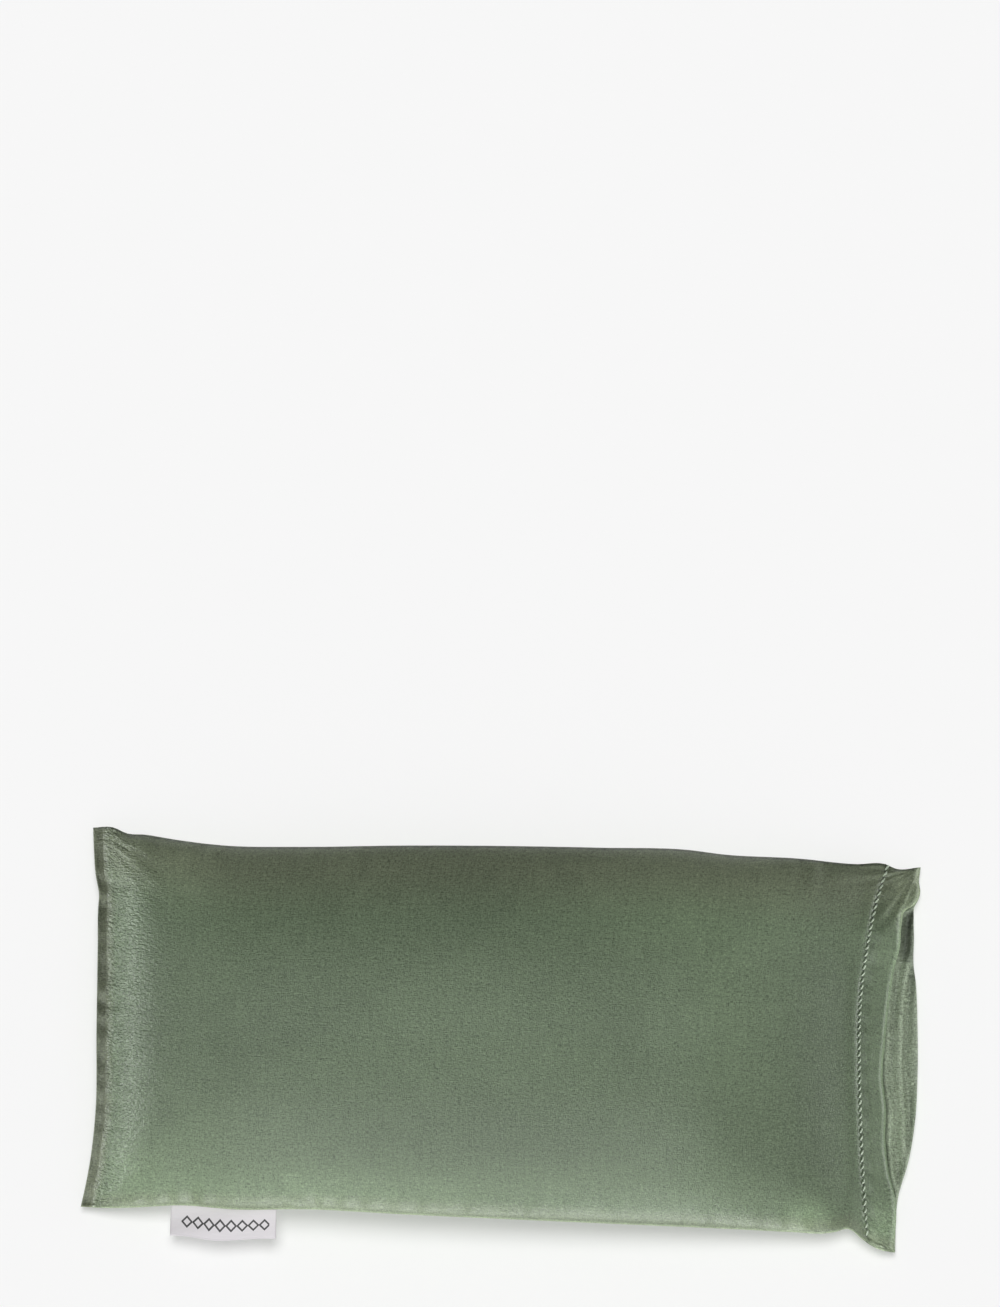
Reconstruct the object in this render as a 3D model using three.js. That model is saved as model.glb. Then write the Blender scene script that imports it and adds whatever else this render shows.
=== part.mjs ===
// Eye pillow: a satin cover open at one end, a woven label sewn into its front seam, and a
// separate cotton inner pillow filled with linseed that slides out through the mouth.
//
// Units are millimetres. +X runs along the length towards the mouth, -Y is the front side with
// the label, +Z is up. The origin is the middle of the flat underside.
import * as THREE from 'three';
import { mergeVertices } from 'three/addons/utils/BufferGeometryUtils.js';

// ---- Driving dimensions ----------------------------------------------------------------------

const COVER_LENGTH = 230;
const COVER_WIDTH = 102;
const COVER_HEIGHT = 25;
const SEAM_HEIGHT = 10; // of the side seams above the underside
const SATIN_THICKNESS = 0.5;

const EAR_FLARE = 3.5; // how far each corner stands out past the straight side
const EAR_RUN = 12; // length over which a corner's flare dies away
const END_RUN = 32; // length over which a closed end rises to full height
const END_PULL = 4.5; // how far the middle of a closed end is drawn in between its corners

const HEM_WIDTH = 11; // from the mouth's edge to the stitch line
const HEM_THICKNESS = 0.7;
const HEM_LIFT = 0.3; // the lower hem clears the table, so that its stitches are not crushed
const LIP_PULL = 8; // how far the upper lip is drawn back at its middle

const SEAM_EDGE = 0.8; // height of the upright edge that a turned seam leaves on a satin panel
const SEAM_GAP = 0.3; // between the two panels that a seam joins

const INNER_LENGTH = 208;
const INNER_WIDTH = 94;
const INNER_HEIGHT = 21.5;
const INNER_BASE = 1.5; // underside of the inner pillow above the table
const INNER_START = 8.5; // from the cover's closed end to the inner pillow's
const COTTON_THICKNESS = 0.4;

const THREAD_SIZE = 0.2;
const THREAD_CLEARANCE = 0.05; // between a stitch line and the cloth that it lies on
const THREAD_INSET = 0.35; // between a seam's stitches and the inside of the seam's edge

const LABEL_LENGTH = 30.4;
const LABEL_REACH = 8.7; // from the seam to the label's fold
const LABEL_TAPE = 0.25;
const LABEL_OPENING = 0.3; // between the two leaves of the folded tape
const LABEL_CENTRE_X = -77;
const LABEL_CLEARANCE = 0.9; // from the front seam's edge to the label's sewn end

const FILL_CLEARANCE = 0.15; // between the seeds and the cotton
const FILL_EDGE_CLEARANCE = 1.5; // and at the seams, where the stitches are
const FILL_EDGE_HEIGHT = 0.6;

// ---- Shape of a filled bag -------------------------------------------------------------------

const CROWN_POWER = 1.2;
const BASE_FLAT = 0.55; // share of the half-width over which the underside is flat
const BASE_POWER = 2.2;
const CORNER_SHARPNESS = 3; // how tightly the side's rise and the end's rise meet at a corner

/** Evenly spread values from low to high, both included. */
function spread(low, high, count) {
  return Array.from({ length: count }, (_, i) => low + ((high - low) * i) / (count - 1));
}

/** Positions across a bag, from -1 at the front seam to 1 at the rear seam, closer near the seams. */
const ACROSS = spread(-1, 1, 15).map((s) => Math.sin((s * Math.PI) / 2));

/** Distances in from a closed end at which a bag's shape is sampled. */
const END_STEPS = [0, 1.5, 4, 8, 13, 19, 25, END_RUN];

/** How far the bag has risen, from 0 to 1, at a distance in from a closed end. */
function endRise(distance) {
  return Math.sin((Math.min(distance / END_RUN, 1) * Math.PI) / 2) ** 0.9;
}

/** Two rises joined so that corners stay full: 0 where either is 0, and 1 where both are 1. */
function joinedRise(a, b) {
  const low = Math.min(a, b);
  const high = Math.max(a, b);
  if (low <= 0) return 0;
  return low * (2 / (1 + (low / high) ** CORNER_SHARPNESS)) ** (1 / CORNER_SHARPNESS);
}

/** Rise of the upper surface between the seams. */
function crownRise(across) {
  return Math.max(0, 1 - across * across) ** (CROWN_POWER / 2);
}

/** Drop of the lower surface between the seams: flat in the middle, curling up to the seams. */
function baseDrop(across) {
  const past = Math.max(0, Math.abs(across) - BASE_FLAT) / (1 - BASE_FLAT);
  return 1 - past ** BASE_POWER;
}

/**
 * A point on a bag's skin. side is 1 for the upper surface and -1 for the lower, x is the
 * distance along the bag's centre line and across runs from -1 to 1 between the side seams.
 */
function bagPoint(bag, side, x, across) {
  const fromStart = x - bag.start;
  const toEnd = bag.end - x;
  const startRise = endRise(fromStart);
  const rise = bag.open ? startRise : Math.min(startRise, endRise(toEnd));
  const middle = 1 - across * across;

  const startPull = END_PULL * middle * (1 - startRise) ** 2;
  const openPull = side > 0 ? LIP_PULL * middle * Math.max(0, 1 - toEnd / END_RUN) ** 2 : 0;
  const endPull = bag.open ? openPull : END_PULL * middle * (1 - endRise(toEnd)) ** 2;

  const flare = EAR_FLARE * (Math.exp(-fromStart / EAR_RUN) + Math.exp(-toEnd / EAR_RUN));
  const halfWidth = bag.halfWidth + flare * bag.earShare;

  const full = side > 0 ? bag.top : bag.bottom;
  const lift = side < 0 && bag.open && toEnd < HEM_WIDTH + 2 ? HEM_LIFT : 0;
  const shape = side > 0 ? crownRise(across) : baseDrop(across);
  const height = bag.edge + (full - lift - bag.edge) * joinedRise(shape, rise);

  return new THREE.Vector3(
    x + startPull - endPull,
    across * halfWidth,
    SEAM_HEIGHT + side * height,
  );
}

/** The same bag made smaller all round, as its skin's inner face is. */
function insetBag(bag, inset, sideInset = inset) {
  return {
    ...bag,
    start: bag.start + sideInset,
    end: bag.open ? bag.end : bag.end - sideInset,
    halfWidth: bag.halfWidth - sideInset,
    top: bag.top - inset,
    bottom: bag.bottom - inset,
  };
}

const COVER = {
  start: -COVER_LENGTH / 2,
  end: COVER_LENGTH / 2,
  open: true,
  halfWidth: COVER_WIDTH / 2,
  earShare: 1,
  top: COVER_HEIGHT - SEAM_HEIGHT,
  bottom: SEAM_HEIGHT,
  edge: SEAM_EDGE,
};

const INNER = {
  start: COVER.start + INNER_START,
  end: COVER.start + INNER_START + INNER_LENGTH,
  open: false,
  halfWidth: INNER_WIDTH / 2,
  earShare: 0,
  top: INNER_BASE + INNER_HEIGHT - SEAM_HEIGHT,
  bottom: SEAM_HEIGHT - INNER_BASE,
  edge: SEAM_EDGE,
};

/** Distances along a bag at which its shape is sampled; the open bag has its hem in them. */
function alongSteps(bag) {
  const start = END_STEPS.map((step) => bag.start + step);
  if (bag.open) {
    const stitch = bag.end - HEM_WIDTH;
    const stretch = spread(bag.start + END_RUN, stitch - 2, 6).slice(1, -1);
    return [...start, ...stretch, stitch - 2, stitch - 1, stitch, stitch + 1, stitch + 6, bag.end];
  }
  const stretch = spread(bag.start + END_RUN, bag.end - END_RUN, 5).slice(1, -1);
  const end = END_STEPS.map((step) => bag.end - step).reverse();
  return [...start, ...stretch, ...end];
}

// ---- Closed solids from grids of points ------------------------------------------------------

/**
 * A closed sheet between an outer and an inner grid of points, with a rim all round. Each grid
 * is an array of lines of points. Points that coincide are merged and faces that vanish by it
 * are dropped. flipped turns the faces over, for a grid that is laid out the other way round.
 */
function sheetGeometry(outer, inner, flipped = false) {
  const lines = outer.length;
  const perLine = outer[0].length;
  const corners = [];
  const quad = (a, b, c, d) => {
    corners.push(...(flipped ? [a, c, b, a, d, c] : [a, b, c, a, c, d]));
  };

  for (let i = 0; i < lines - 1; i += 1) {
    for (let j = 0; j < perLine - 1; j += 1) {
      quad(outer[i][j], outer[i + 1][j], outer[i + 1][j + 1], outer[i][j + 1]);
      quad(inner[i][j], inner[i][j + 1], inner[i + 1][j + 1], inner[i + 1][j]);
    }
  }
  const last = perLine - 1;
  for (let i = 0; i < lines - 1; i += 1) {
    quad(outer[i][0], inner[i][0], inner[i + 1][0], outer[i + 1][0]);
    quad(outer[i][last], outer[i + 1][last], inner[i + 1][last], inner[i][last]);
  }
  const end = lines - 1;
  for (let j = 0; j < perLine - 1; j += 1) {
    quad(outer[0][j], outer[0][j + 1], inner[0][j + 1], inner[0][j]);
    quad(outer[end][j], inner[end][j], inner[end][j + 1], outer[end][j + 1]);
  }

  const soup = new THREE.BufferGeometry().setFromPoints(corners);
  soup.setIndex(corners.map((_, i) => i));
  const merged = mergeVertices(soup, 1e-3);
  const used = [];
  const index = merged.getIndex();
  for (let i = 0; i < index.count; i += 3) {
    const [a, b, c] = [index.getX(i), index.getX(i + 1), index.getX(i + 2)];
    if (a !== b && b !== c && c !== a) used.push(a, b, c);
  }
  merged.setIndex(used);
  merged.computeVertexNormals();
  return merged;
}

/** One skin of a bag as a thin shell, with the upright edges that its turned seams leave. */
function panelGeometry(bag, side, thicknessAt) {
  const steps = alongSteps(bag);
  const grid = (inset) => {
    const foot = (point) => point.clone().setZ(SEAM_HEIGHT + (side * SEAM_GAP) / 2);
    const lines = steps.map((x) => {
      const shrunk = insetBag(bag, inset(x), inset(bag.start));
      const place = Math.min(Math.max(x, shrunk.start), shrunk.end);
      const line = ACROSS.map((across) => bagPoint(shrunk, side, place, across));
      return [foot(line[0]), ...line, foot(line[line.length - 1])];
    });
    const startFoot = lines[0].map(foot);
    const endFoot = lines[lines.length - 1].map(foot);
    return bag.open ? [startFoot, ...lines] : [startFoot, ...lines, endFoot];
  };
  return sheetGeometry(grid(() => 0), grid(thicknessAt), side < 0);
}

/** A thread of square section that follows a line of points. */
function threadGeometry(points) {
  const half = THREAD_SIZE / 2;
  const left = points.map((_, i) => {
    const before = points[Math.max(i - 1, 0)];
    const after = points[Math.min(i + 1, points.length - 1)];
    return new THREE.Vector3(before.y - after.y, after.x - before.x, 0).normalize();
  });
  const edge = (point, i, across, up) =>
    point.clone().addScaledVector(left[i], across * half).setZ(point.z + up * half);
  const grid = (up) => points.map((point, i) => [edge(point, i, -1, up), edge(point, i, 1, up)]);
  return sheetGeometry(grid(1), grid(-1));
}

// ---- Cover -----------------------------------------------------------------------------------

const STITCH_X = COVER.end - HEM_WIDTH;

function coverThickness(x) {
  return x >= STITCH_X - 1 ? HEM_THICKNESS : SATIN_THICKNESS;
}

/** A row of hem stitches across one panel, above or below the cloth by a number of millimetres. */
function hemThreadGeometry(side, bag, lift) {
  const points = ACROSS.slice(1, -1).map((across) => {
    const point = bagPoint(bag, side, STITCH_X, across);
    return point.setZ(point.z + lift);
  });
  return threadGeometry(points);
}

/** The line of a bag's seam, set in from its edge: a U for an open bag, both sides and an end. */
function seamLine(bag, inset) {
  const shrunk = insetBag(bag, inset);
  const steps = alongSteps(shrunk);
  const side = (across) => steps.slice(1).map((x) => bagPoint(shrunk, 1, x, across));
  const end = ACROSS.map((across) => bagPoint(shrunk, 1, shrunk.start, across));
  return [...side(-1).reverse(), ...end, ...side(1)];
}

/** A seam's stitches, flat in the seam's plane, raised or lowered from it. */
function seamThreadGeometry(line, level) {
  return threadGeometry(line.map((point) => point.clone().setZ(SEAM_HEIGHT + level)));
}

// ---- Label -----------------------------------------------------------------------------------

/** The folded tape: out from the seam, round the fold and back, as one hairpin-shaped sheet. */
function labelGeometry() {
  const middle = (LABEL_OPENING + LABEL_TAPE) / 2;
  const straight = LABEL_REACH - middle - LABEL_TAPE / 2;
  const hairpin = (radius) => {
    const bend = spread(-Math.PI / 2, Math.PI / 2, 7).map((angle) => [
      -straight - radius * Math.cos(angle),
      -radius * Math.sin(angle),
    ]);
    const upper = spread(0, -straight, 4).slice(0, -1).map((y) => [y, radius]);
    const lower = spread(-straight, 0, 4).slice(1).map((y) => [y, -radius]);
    return [...upper, ...bend, ...lower];
  };
  const grid = (radius) => spread(-LABEL_LENGTH / 2, LABEL_LENGTH / 2, 5).map((x) =>
    hairpin(radius).map(([y, z]) => new THREE.Vector3(x, y, z)));
  return sheetGeometry(grid(middle + LABEL_TAPE / 2), grid(middle - LABEL_TAPE / 2), true);
}

// ---- Filling ---------------------------------------------------------------------------------

/** The seeds as one solid that fills the inner pillow. */
function fillGeometry() {
  const skin = insetBag(INNER, COTTON_THICKNESS + FILL_CLEARANCE, FILL_EDGE_CLEARANCE);
  const seeds = { ...skin, edge: FILL_EDGE_HEIGHT / 2 };
  const grid = (side) => alongSteps(seeds).map((x) =>
    ACROSS.map((across) => bagPoint(seeds, side, x, across)));
  return sheetGeometry(grid(1), grid(-1));
}

// ---- Materials -------------------------------------------------------------------------------

const material = (color, roughness) => new THREE.MeshStandardMaterial({
  color,
  roughness,
  metalness: 0,
});
const satin = material(0x69765f, 0.5);
const satinThread = material(0x7a8770, 0.6);
const labelTape = material(0xe5e2e5, 0.55);
const cotton = material(0xe4ddcd, 0.9);
const cottonThread = material(0xf0ebe0, 0.85);
const linseed = material(0x6b4526, 0.45);

// ---- Assembly --------------------------------------------------------------------------------

/** A named sub-part. */
function part(name, geometry, finish) {
  const mesh = new THREE.Mesh(geometry, finish);
  mesh.name = name;
  return mesh;
}

const threadLift = THREAD_SIZE / 2 + THREAD_CLEARANCE;
const hemInside = insetBag(COVER, HEM_THICKNESS, SATIN_THICKNESS);
const coverSeam = seamLine(COVER, SATIN_THICKNESS + THREAD_INSET);

const cover = new THREE.Group();
cover.add(
  part('cover_top_panel', panelGeometry(COVER, 1, coverThickness), satin),
  part('cover_bottom_panel', panelGeometry(COVER, -1, coverThickness), satin),
  part('cover_seam_needle_thread', seamThreadGeometry(coverSeam, threadLift), satinThread),
  part('cover_seam_bobbin_thread', seamThreadGeometry(coverSeam, -threadLift), satinThread),
  part('top_hem_needle_thread', hemThreadGeometry(1, COVER, threadLift), satinThread),
  part('top_hem_bobbin_thread', hemThreadGeometry(1, hemInside, -threadLift), satinThread),
  part('bottom_hem_needle_thread', hemThreadGeometry(-1, COVER, -threadLift), satinThread),
  part('bottom_hem_bobbin_thread', hemThreadGeometry(-1, hemInside, threadLift), satinThread),
);

const label = new THREE.Group();
label.position.set(LABEL_CENTRE_X, -COVER_WIDTH / 2 - LABEL_CLEARANCE, SEAM_HEIGHT);
label.add(part('woven_label', labelGeometry(), labelTape));

const innerSeam = seamLine(INNER, COTTON_THICKNESS + THREAD_INSET);
const closingSeam = ACROSS.map((across) => {
  const shrunk = insetBag(INNER, COTTON_THICKNESS + THREAD_INSET);
  return bagPoint(shrunk, 1, shrunk.end, across);
}).slice(1, -1);

const innerPillow = new THREE.Group();
innerPillow.add(
  part('inner_top_panel', panelGeometry(INNER, 1, () => COTTON_THICKNESS), cotton),
  part('inner_bottom_panel', panelGeometry(INNER, -1, () => COTTON_THICKNESS), cotton),
  part('inner_seam_needle_thread', seamThreadGeometry(innerSeam, threadLift), cottonThread),
  part('inner_seam_bobbin_thread', seamThreadGeometry(innerSeam, -threadLift), cottonThread),
  part('closing_seam_needle_thread', seamThreadGeometry(closingSeam, threadLift), cottonThread),
  part('closing_seam_bobbin_thread', seamThreadGeometry(closingSeam, -threadLift), cottonThread),
  part('linseed_fill', fillGeometry(), linseed),
);

const eyePillow = new THREE.Group();
eyePillow.add(cover, label, innerPillow);

export default eyePillow;
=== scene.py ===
"""Eye pillow: a satin cover with an open mouth, a woven label and a cotton inner pillow of seed.

The cover is built from its outline and its heights as two grids of points, relaxed as cloth,
then given its hem, seams, stitches and creases. Lengths are in millimetres in the row frame:
+X towards the mouth, -Y towards the label, +Z up. Meshes are written in metres.
"""

import math

import bpy
import numpy as np
from mathutils import Matrix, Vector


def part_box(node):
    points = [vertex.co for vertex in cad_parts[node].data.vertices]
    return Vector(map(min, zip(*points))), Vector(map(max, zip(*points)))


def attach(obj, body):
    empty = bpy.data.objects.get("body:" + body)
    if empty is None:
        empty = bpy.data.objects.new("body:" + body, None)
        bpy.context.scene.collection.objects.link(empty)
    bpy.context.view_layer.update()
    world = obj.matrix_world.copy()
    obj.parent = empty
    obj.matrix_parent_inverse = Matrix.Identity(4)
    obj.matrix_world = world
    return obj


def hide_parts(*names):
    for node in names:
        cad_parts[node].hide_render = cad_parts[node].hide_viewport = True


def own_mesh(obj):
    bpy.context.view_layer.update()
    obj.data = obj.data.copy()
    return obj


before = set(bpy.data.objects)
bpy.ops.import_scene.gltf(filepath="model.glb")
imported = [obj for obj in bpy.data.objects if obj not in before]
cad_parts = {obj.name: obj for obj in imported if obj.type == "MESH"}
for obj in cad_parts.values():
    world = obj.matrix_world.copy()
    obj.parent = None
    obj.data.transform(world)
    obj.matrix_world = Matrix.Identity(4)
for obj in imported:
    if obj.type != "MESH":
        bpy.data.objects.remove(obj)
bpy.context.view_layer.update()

METRE = 0.001  # one millimetre, in the metres that meshes are written in


# ---- Sizes, from the frame -------------------------------------------------------------------

def frame_box(node):
    """Lowest and highest corner of a CAD node, in millimetres."""
    low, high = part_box(node)
    return np.array(low) / METRE, np.array(high) / METRE


COVER_LOW, COVER_HIGH = frame_box("cover_bottom_panel")
TOP_Z = frame_box("cover_top_panel")[1][2]
HALF_LENGTH = (COVER_HIGH[0] - COVER_LOW[0]) / 2
HALF_WIDTH = frame_box("top_hem_needle_thread")[1][1]
SEAM_Z = frame_box("woven_label")[0][2]
LABEL_LOW, LABEL_HIGH = frame_box("woven_label")
INNER_LOW, INNER_HIGH = frame_box("inner_top_panel")


# ---- Curves and noise ------------------------------------------------------------------------

def through(keys, at):
    """A smooth curve through (place, value) keys, read at the given places."""
    place, value = np.array(keys, float).T
    slope = np.gradient(value, place)
    at = np.clip(at, place[0], place[-1])
    i = np.clip(np.searchsorted(place, at) - 1, 0, len(place) - 2)
    gap = place[i + 1] - place[i]
    t = (at - place[i]) / gap
    return (
        value[i] * (1 + 2 * t) * (1 - t) ** 2
        + value[i + 1] * (3 - 2 * t) * t**2
        + slope[i] * gap * t * (1 - t) ** 2
        + slope[i + 1] * gap * t**2 * (t - 1)
    )


def step(low, high, at):
    """0 at low, 1 at high and smooth between; low may be the larger of the two."""
    t = np.clip((at - low) / (high - low), 0, 1)
    return t * t * (3 - 2 * t)


def bump(at, centre, width):
    """A bell of height 1."""
    return np.exp(-(((at - centre) / width) ** 2))


def waves(a, b, seed, count=5):
    """Smooth irregular waves, about -1 to 1, over two coordinates given in wavelengths."""
    random = np.random.default_rng(seed)
    total = np.zeros(np.broadcast(a, b).shape)
    for _ in range(count):
        turn = random.uniform(0, 2 * math.pi)
        pace = random.uniform(0.6, 1.5)
        shift = random.uniform(0, 2 * math.pi)
        total = total + np.sin(2 * math.pi * pace * (a * math.cos(turn) + b * math.sin(turn)) + shift)
    return total / math.sqrt(count) / 1.4


def noise_along(a, seed, count=6):
    """Smooth irregular waves along one coordinate given in wavelengths."""
    random = np.random.default_rng(seed)
    total = np.zeros(np.shape(a))
    for _ in range(count):
        total = total + np.sin(2 * math.pi * random.uniform(0.5, 1.6) * a + random.uniform(0, 6.3))
    return total / math.sqrt(count) / 1.3


def past_line(x, y, start, end):
    """Distance in front of a line, seen from above, and how far along it, 0 at start, 1 at end."""
    along = np.array(end, float) - start
    length = math.hypot(*along)
    dx, dy = x - start[0], y - start[1]
    return (along[1] * dx - along[0] * dy) / length, (along[0] * dx + along[1] * dy) / length**2


# ---- The cover's outline ---------------------------------------------------------------------
# Places are shares of the half-length or half-width; values are millimetres past it.

REAR_SEAM = [
    (-1.02, 3.2), (-0.968, 3.4), (-0.937, 1.9), (-0.889, 1.6), (-0.82, 0.5), (-0.7, -0.8),
    (-0.51, -0.6), (-0.27, 0.6), (0.22, 1.8), (0.44, 1.9), (0.51, 1.1), (0.7, 0.6),
    (0.84, -0.4), (0.915, -0.2), (0.937, -1.2), (1.0, -0.6),
]
FRONT_SEAM = [
    (-1.02, 1.0), (-0.965, 1.1), (-0.87, 0.5), (-0.78, -0.4), (-0.63, 0.2), (-0.48, -0.5),
    (-0.24, 0.0), (0.24, 0.8), (0.6, 1.4), (0.72, 1.7), (0.79, 1.8), (0.825, 1.0), (0.842, 0.3),
    (0.856, 0.7), (0.88, 2.9), (0.902, 4.6), (0.932, 6.1), (0.965, 6.5),
]
CLOSED_END = [
    (-1.02, 2.2), (-0.84, 0.5), (-0.71, -0.4), (-0.5, -1.2), (-0.05, -0.8), (0.41, -0.3),
    (0.63, 0.0), (0.68, -0.1), (0.81, 1.2), (0.94, 1.9), (1.07, 2.4),
]
UPPER_LIP = [
    (-1.12, -4.2), (-0.84, -3.8), (-0.66, -6.1), (-0.51, -7.1), (-0.34, -7.2), (-0.17, -8.4),
    (0.03, -8.0), (0.28, -7.0), (0.42, -6.1), (0.53, -4.9), (0.69, -4.3), (0.735, -3.7),
    (0.765, -1.6), (0.8, -0.2), (0.853, 0.4), (0.9, -0.2), (0.947, -0.1), (0.99, 0.0),
]
BROAD_LIP = [(-1.12, -4.8), (-0.6, -6.6), (-0.1, -7.6), (0.4, -6.4), (0.8, -3.6), (1.12, -1.6)]
LOWER_LIP = [
    (-1.12, -4.1), (-0.8, -3.3), (-0.66, -1.3), (-0.43, 0.5), (-0.12, 0.9), (0.12, 0.5),
    (0.33, -0.2), (0.45, -1.1), (0.6, -1.2), (0.71, -1.4), (0.765, -1.3), (0.8, -0.4),
    (0.853, 0.2), (0.9, -0.2), (0.99, 0.0),
]
UPPER_STITCHES = [
    (-1.12, -11.6), (-1.02, -12.2), (-0.59, -14.3), (-0.12, -15.8), (0.23, -16.1), (0.49, -14.9),
    (0.74, -12.8), (0.98, -9.5),
]
LOWER_STITCHES = [(-1.12, -12.0), (-0.6, -11.0), (0.0, -11.4), (0.6, -11.0), (1.0, -10.2)]

CREST_Z = TOP_Z - 0.6  # the swells and puckers take the rest
TABLE_GAP = 0.5  # from the table to the lower panel
SIDE_SEAM_Z = [(-1.02, 3.2), (-0.9, 5.5), (-0.7, SEAM_Z - 0.5), (0.6, SEAM_Z - 1), (0.85, 6.0), (1.0, 3.0)]
END_SEAM_Z = [(-1.1, 3.2), (-0.8, 6.0), (0.0, 8.0), (0.8, 6.0), (1.1, 3.2)]
UPPER_LIP_Z = [
    (-1.12, 3.0), (-0.8, 3.4), (-0.4, 4.6), (0.0, 5.4), (0.4, 5.6), (0.65, 7.0), (0.8, 5.0), (1.0, 3.2),
]
LOWER_LIP_Z = [(-1.12, 2.6), (-0.8, 1.4), (0.0, 1.2), (0.8, 1.4), (1.0, 2.8)]

ALONG_STEP = 1.35  # between lines of points along the cover
BODY_LENGTH = 2 * HALF_LENGTH - 16  # from the closed end to the stitches
FINE_LENGTH = 4  # beside the stitches, where the points are closer
END_LENGTH = 0.9  # at the closed end, where they are closer too
ACROSS_COUNT = 221


def rear_y(x):
    return HALF_WIDTH + through(REAR_SEAM, x / HALF_LENGTH)


def front_y(x):
    return -HALF_WIDTH - through(FRONT_SEAM, x / HALF_LENGTH)


def closed_x(y):
    return -HALF_LENGTH - through(CLOSED_END, y / HALF_WIDTH)


def lip_x(y, lip):
    return HALF_LENGTH + through(lip, y / HALF_WIDTH)


def along_shares():
    """Shares along the cover: 0 at the closed end, 1 at the stitch line and 2 at the lip."""
    fine_from = 1 - FINE_LENGTH / BODY_LENGTH
    far = np.linspace(0, fine_from, int((BODY_LENGTH - FINE_LENGTH) / ALONG_STEP))
    near = np.linspace(fine_from, 1, 12)[1:]
    hem = np.linspace(1, 2, 17)[1:]
    edge = END_LENGTH / BODY_LENGTH
    return np.concatenate([[0, edge / 2, edge], far[1:], near, hem])


def across_shares():
    """Shares across the cover, 0 at the front seam and 1 at the rear, closer at the seams."""
    even = np.linspace(0, 1, ACROSS_COUNT)
    return even - 0.6 * np.sin(2 * math.pi * even) / (2 * math.pi)


def plan_grid(lip, stitches, along_places, across_places):
    """x and y of a panel's points, seen from above."""
    along, across = np.meshgrid(along_places, across_places, indexing="ij")
    y = (across * 2 - 1) * HALF_WIDTH
    x = np.zeros_like(y)
    for _ in range(4):
        seam, edge = lip_x(y, stitches), lip_x(y, lip)
        body = closed_x(y) + (seam - closed_x(y)) * np.minimum(along, 1)
        x = body + (edge - seam) * np.maximum(along - 1, 0)
        y = front_y(x) + (rear_y(x) - front_y(x)) * across
    return x, y


def edge_height(x, y, lip_heights, lip):
    """Height of the sheet stretched between the seams and a lip, before it is filled."""
    u = np.clip((x - closed_x(y)) / (lip_x(y, lip) - closed_x(y)), 0, 1)
    v = np.clip((y - front_y(x)) / (rear_y(x) - front_y(x)), 0, 1)
    side = through(SIDE_SEAM_Z, x / HALF_LENGTH)
    end = through(END_SEAM_Z, y / HALF_WIDTH)
    mouth = through(lip_heights, y / HALF_WIDTH)
    reach = 4 * v * (1 - v)
    end_share = (1 - u) ** 6 * reach
    mouth_share = step(0.86, 1, u) * reach ** 0.35
    return side * (1 - end_share) * (1 - mouth_share) + end * end_share + mouth * mouth_share


def round_rise(distance, run, power=2.1):
    """How far a filled bag has risen at a distance in from a seam: steep at first, then level."""
    t = np.clip(distance / run, 0, 1)
    return (1 - (1 - t) ** power) ** (1 / power)


MOUTH_RISE = [
    (0, 0), (0.6, 0.025), (1.6, 0.072), (3, 0.098), (8, 0.15), (12, 0.215), (20, 0.37), (30, 0.56),
    (40, 0.745), (50, 0.9), (60, 0.98), (72, 1),
]
CLOSED_RISE = [
    (0, 0), (3.3, 0.02), (5, 0.09), (8, 0.27), (11, 0.41), (15, 0.53), (20, 0.63), (27, 0.73),
    (36, 0.84), (46, 0.93), (57, 0.985), (70, 1),
]


def mouth_distance(x, y):
    """Distance in from the upper lip; further in it follows the lip's broad line only."""
    near = lip_x(y, UPPER_LIP) - x
    return near + (lip_x(y, BROAD_LIP) - x - near) * step(1, 14, near)


def top_z(x, y):
    """Height of the upper panel."""
    low = edge_height(x, y, UPPER_LIP_Z, UPPER_LIP)
    sides = round_rise(y - front_y(x), 44) * round_rise(rear_y(x) - y, 50)
    ends = through(CLOSED_RISE, x - closed_x(y)) * through(MOUTH_RISE, mouth_distance(x, y))
    swell = 0.45 * waves(x / 95, y / 80, seed=4) * sides
    return low + (CREST_Z - low) * sides * ends + swell * ends


def bottom_z(x, y):
    """Height of the lower panel: flat on the table inside a curled-up border."""
    low = edge_height(x, y, LOWER_LIP_Z, LOWER_LIP)
    sides = round_rise(y - front_y(x), 15) * round_rise(rear_y(x) - y, 15)
    ends = round_rise(x - closed_x(y), 17) * round_rise(lip_x(y, LOWER_LIP) - x + 3, 12)
    return low + (TABLE_GAP - low) * sides * ends


def drawn_grids(along_places, across_places):
    """The two panels' outer faces, before they are relaxed, as grids that meet along the seams."""
    grids = []
    for lip, stitches, height in (
        (UPPER_LIP, UPPER_STITCHES, top_z),
        (LOWER_LIP, LOWER_STITCHES, bottom_z),
    ):
        x, y = plan_grid(lip, stitches, along_places, across_places)
        grids.append(np.stack([x, y, height(x, y)], axis=-1))
    return grids


# ---- Cloth simulation ------------------------------------------------------------------------

CLOTH_SCALE = 10  # the solver works on a cover ten times as large, in metres
CLOTH_FRAMES = 20
CLOTH_SPARE = 0.035  # share by which the cloth is larger than the shape it starts from
CLOTH_CAP = 0.9  # millimetres that a point may move
TABLE_CLEARANCE = 0.6  # between the table and the relaxed lower panel, where puckers are drawn
COARSE_BODY = 90  # lines of points along the simulated cover
COARSE_HEM = 5
COARSE_ACROSS = 46


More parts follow.
